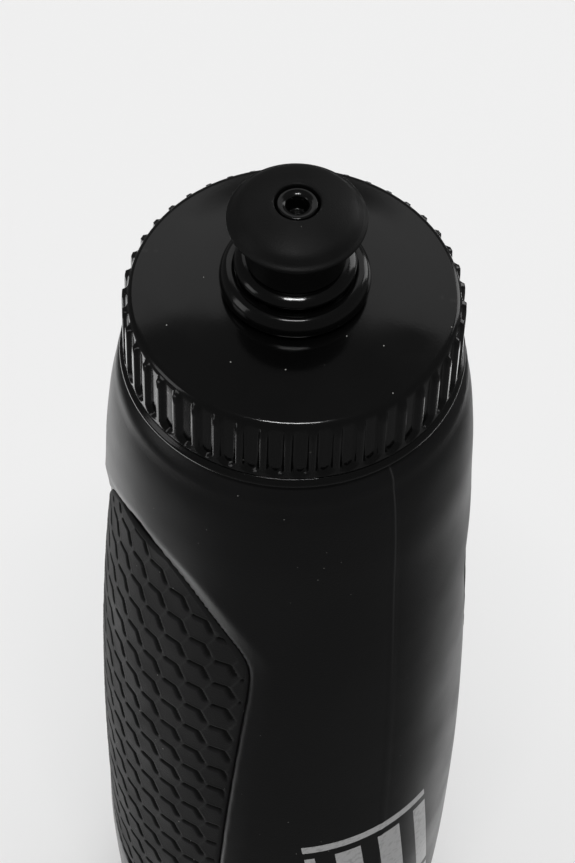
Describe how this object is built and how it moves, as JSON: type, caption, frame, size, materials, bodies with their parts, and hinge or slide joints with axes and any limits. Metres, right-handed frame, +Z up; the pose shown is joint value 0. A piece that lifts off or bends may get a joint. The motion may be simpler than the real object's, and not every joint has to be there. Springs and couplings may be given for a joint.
{
  "type": "squeeze sports bottle",
  "caption": "Squeeze sports bottle with inset side grip pads, ribbed screw cap with gasket, and a push-pull drinking nozzle over a valve pin.",
  "frame": {"origin": "centre of the base, on the surface the bottle stands on", "axes": "+Z up along the bottle to the mouthpiece, -Y the front with the mould seam, grip pads towards +X and -X"},
  "size_m": [0.0758, 0.0766, 0.2516],
  "materials": {
    "body_plastic": "satin, slightly translucent-looking near-black polyethylene",
    "cap_plastic": "glossy black injection-moulded polypropylene",
    "grip_rubber": "matte dark grey soft-touch, scale pattern",
    "mouth_rubber": "matte black soft rubber",
    "seal_silicone": "matte translucent grey silicone"
  },
  "bodies": {
    "bottle": {"bottle_body": "body_plastic", "grip_pad_left": "grip_rubber", "grip_pad_right": "grip_rubber"},
    "seal": {"cap_gasket": "seal_silicone"},
    "cap": {"cap_shell": "cap_plastic", "spout_insert": "cap_plastic", "valve_pin": "cap_plastic"},
    "nozzle": {"nozzle_slider": "cap_plastic", "mouthpiece": "mouth_rubber"}
  },
  "joints": [
    {"name": "cap_lift", "type": "slide", "parent": "bottle", "child": "seal", "axis": [0, 0, 1], "range_m": [0, 0.0181]},
    {"name": "cap_turn", "type": "hinge", "parent": "seal", "child": "cap", "pos_m": [0, 0, 0.21], "axis": [0, 0, 1], "range_deg": [0, 1620]},
    {"name": "nozzle_pull", "type": "slide", "parent": "cap", "child": "nozzle", "axis": [0, 0, 1], "range_m": [0, 0.006]}
  ],
  "couplings": [
    {"joint": "cap_lift", "follows": "cap_turn", "m_per_rad": 0.00063662}
  ]
}
